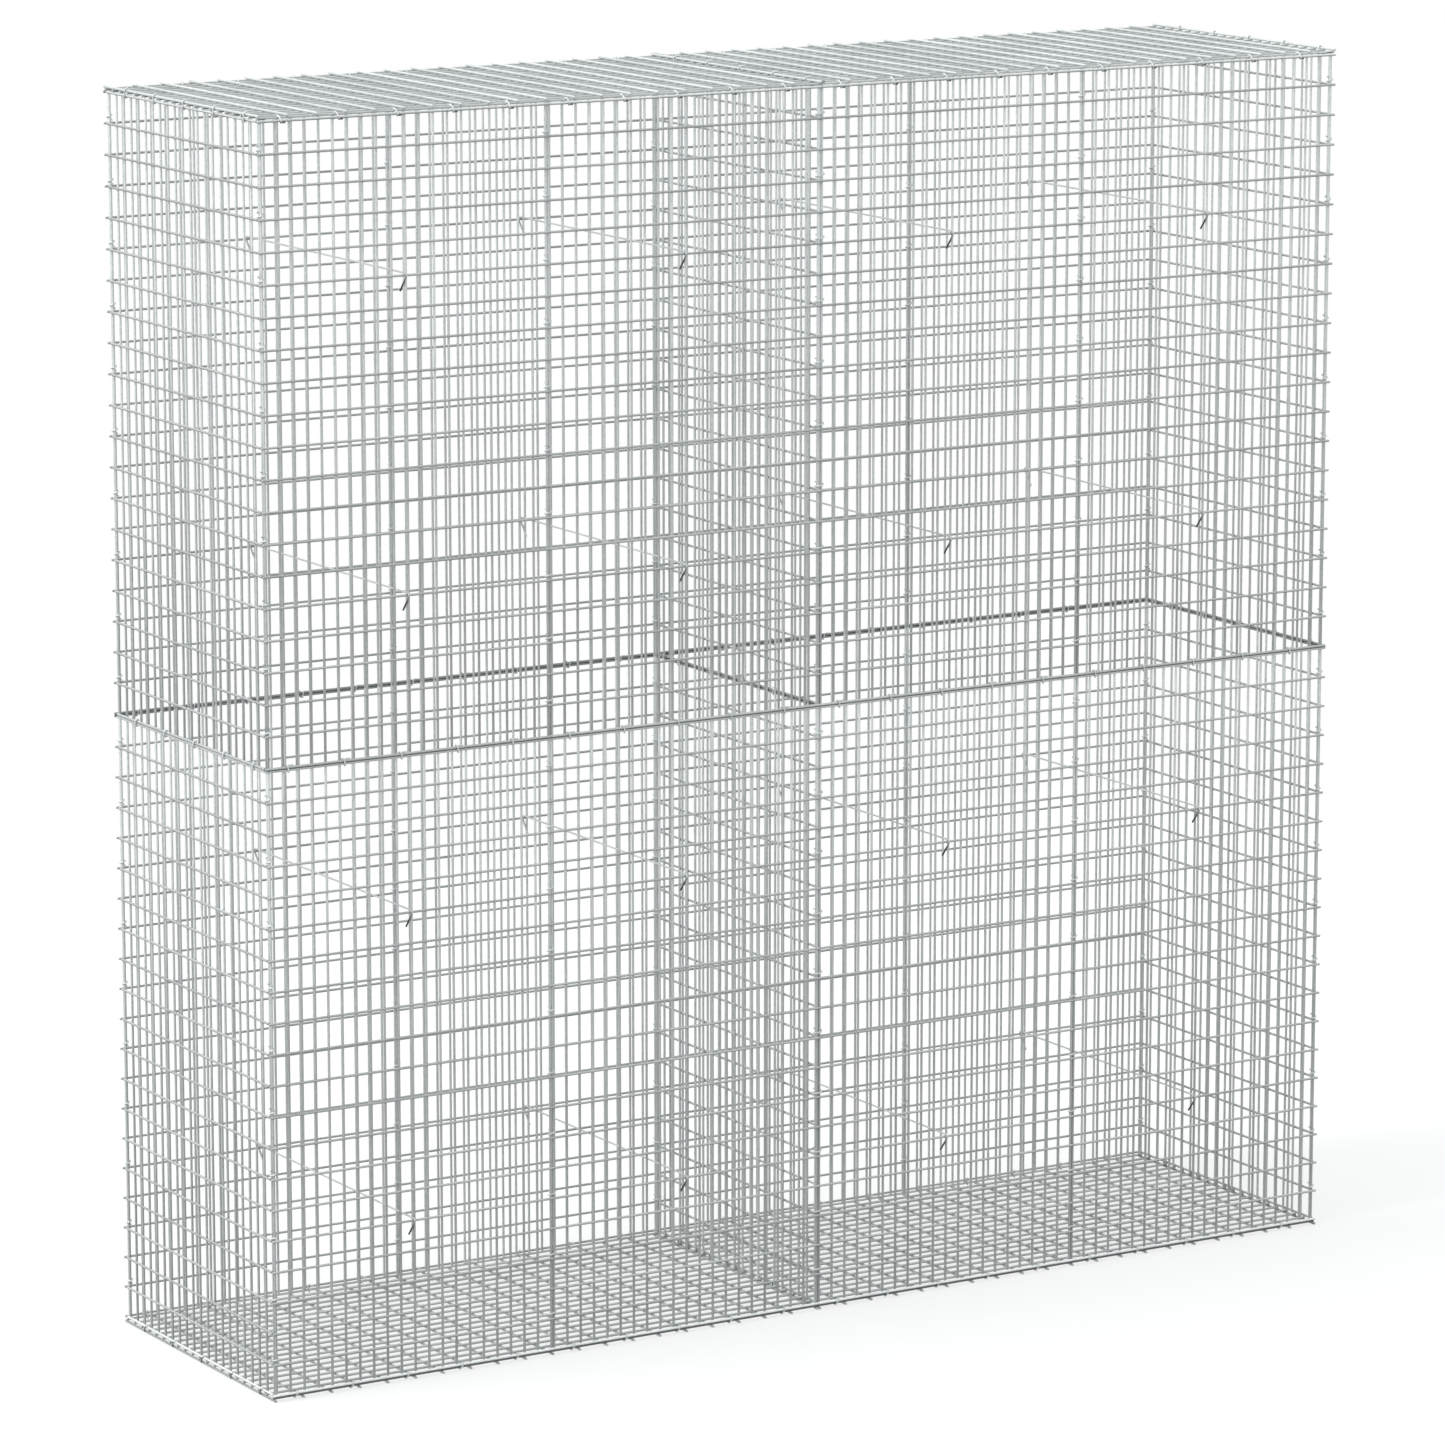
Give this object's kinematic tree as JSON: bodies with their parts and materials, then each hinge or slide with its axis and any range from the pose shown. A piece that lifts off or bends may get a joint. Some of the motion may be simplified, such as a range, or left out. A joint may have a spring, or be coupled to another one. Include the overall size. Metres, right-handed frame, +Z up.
{
  "type": "gabion wall",
  "caption": "Free-standing gabion wall frame: empty welded-mesh baskets in bays and tiers, with ring-joined panels, mesh floor and lid and hooked tie wires, to be filled with stone.",
  "frame": {"origin": "bottom centre of the wall, on the ground", "axes": "+X along the wall to the right, +Y to the back, +Z up; the front faces -Y"},
  "size_m": [2.015, 0.5364, 2.0195],
  "materials": {
    "mesh_wire": "galvanised, satin",
    "tie_wire": "galvanised, satin",
    "ring_wire": "galvanised, satin"
  },
  "bodies": {
    "root": {"front_lower_1": "mesh_wire", "front_lower_2": "mesh_wire", "front_lower_3": "mesh_wire", "front_lower_4": "mesh_wire", "front_upper_1": "mesh_wire", "front_upper_2": "mesh_wire", "front_upper_3": "mesh_wire", "front_upper_4": "mesh_wire", "back_lower_1": "mesh_wire", "back_lower_2": "mesh_wire", "back_lower_3": "mesh_wire", "back_lower_4": "mesh_wire", "back_upper_1": "mesh_wire", "back_upper_2": "mesh_wire", "back_upper_3": "mesh_wire", "back_upper_4": "mesh_wire", "left_end_lower": "mesh_wire", "left_end_upper": "mesh_wire", "right_end_lower": "mesh_wire", "right_end_upper": "mesh_wire", "partition_lower": "mesh_wire", "partition_upper": "mesh_wire", "floor_left": "mesh_wire", "floor_right": "mesh_wire", "lid_left": "mesh_wire", "lid_right": "mesh_wire", "ties_left_lower": "tie_wire", "ties_left_upper": "tie_wire", "ties_right_lower": "tie_wire", "ties_right_upper": "tie_wire", "rings_left_corners": "ring_wire", "rings_right_corners": "ring_wire", "rings_front_seams": "ring_wire", "rings_back_seams": "ring_wire", "rings_partition": "ring_wire", "rings_tier": "ring_wire", "rings_lid": "ring_wire", "rings_floor": "ring_wire"}
  },
  "joints": []
}
